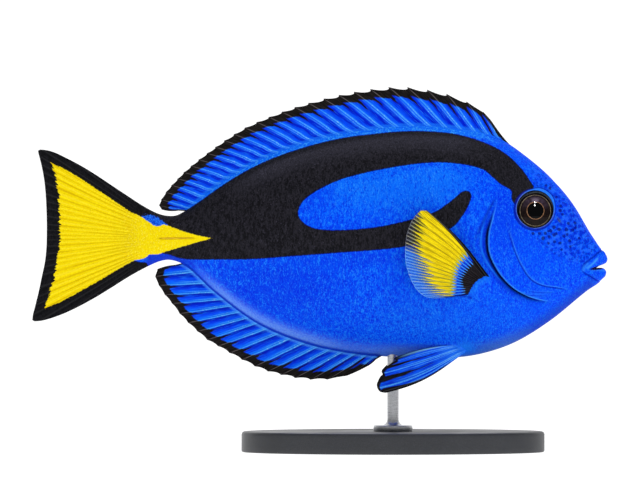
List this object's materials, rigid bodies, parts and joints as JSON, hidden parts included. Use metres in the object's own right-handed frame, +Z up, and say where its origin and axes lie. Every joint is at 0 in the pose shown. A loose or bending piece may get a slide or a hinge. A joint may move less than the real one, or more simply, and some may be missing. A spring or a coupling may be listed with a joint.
{
  "type": "regal blue tang model on a display stand",
  "caption": "Life-size still model of an adult regal blue tang, swimming pose, held by one rod on an oval display base.",
  "frame": {"origin": "on the floor plane, under the middle of the overall box: halfway along the fish's total length and on its median plane", "axes": "+X from tail to snout, +Y to the fish's left, +Z up"},
  "size_m": [0.25, 0.084, 0.1588],
  "materials": {
    "skin_blue": "satin",
    "skin_yellow": "satin",
    "fin_blue": "satin",
    "fin_yellow": "satin",
    "eye": "gloss",
    "spine": "satin",
    "stand_paint": "satin",
    "stand_steel": "satin"
  },
  "bodies": {
    "root": {"head": "skin_blue", "trunk": "skin_blue", "tail_stalk": "skin_yellow", "tail_fin": "skin_yellow", "dorsal_fin": "fin_blue", "anal_fin": "fin_blue", "pelvic_fin_left": "fin_blue", "pelvic_fin_right": "fin_blue", "pectoral_fin_left": "fin_yellow", "pectoral_fin_right": "fin_yellow", "eye_left": "eye", "eye_right": "eye", "tail_spine_left": "spine", "tail_spine_right": "spine", "stand_base": "stand_paint", "stand_rod": "stand_steel"}
  },
  "joints": []
}
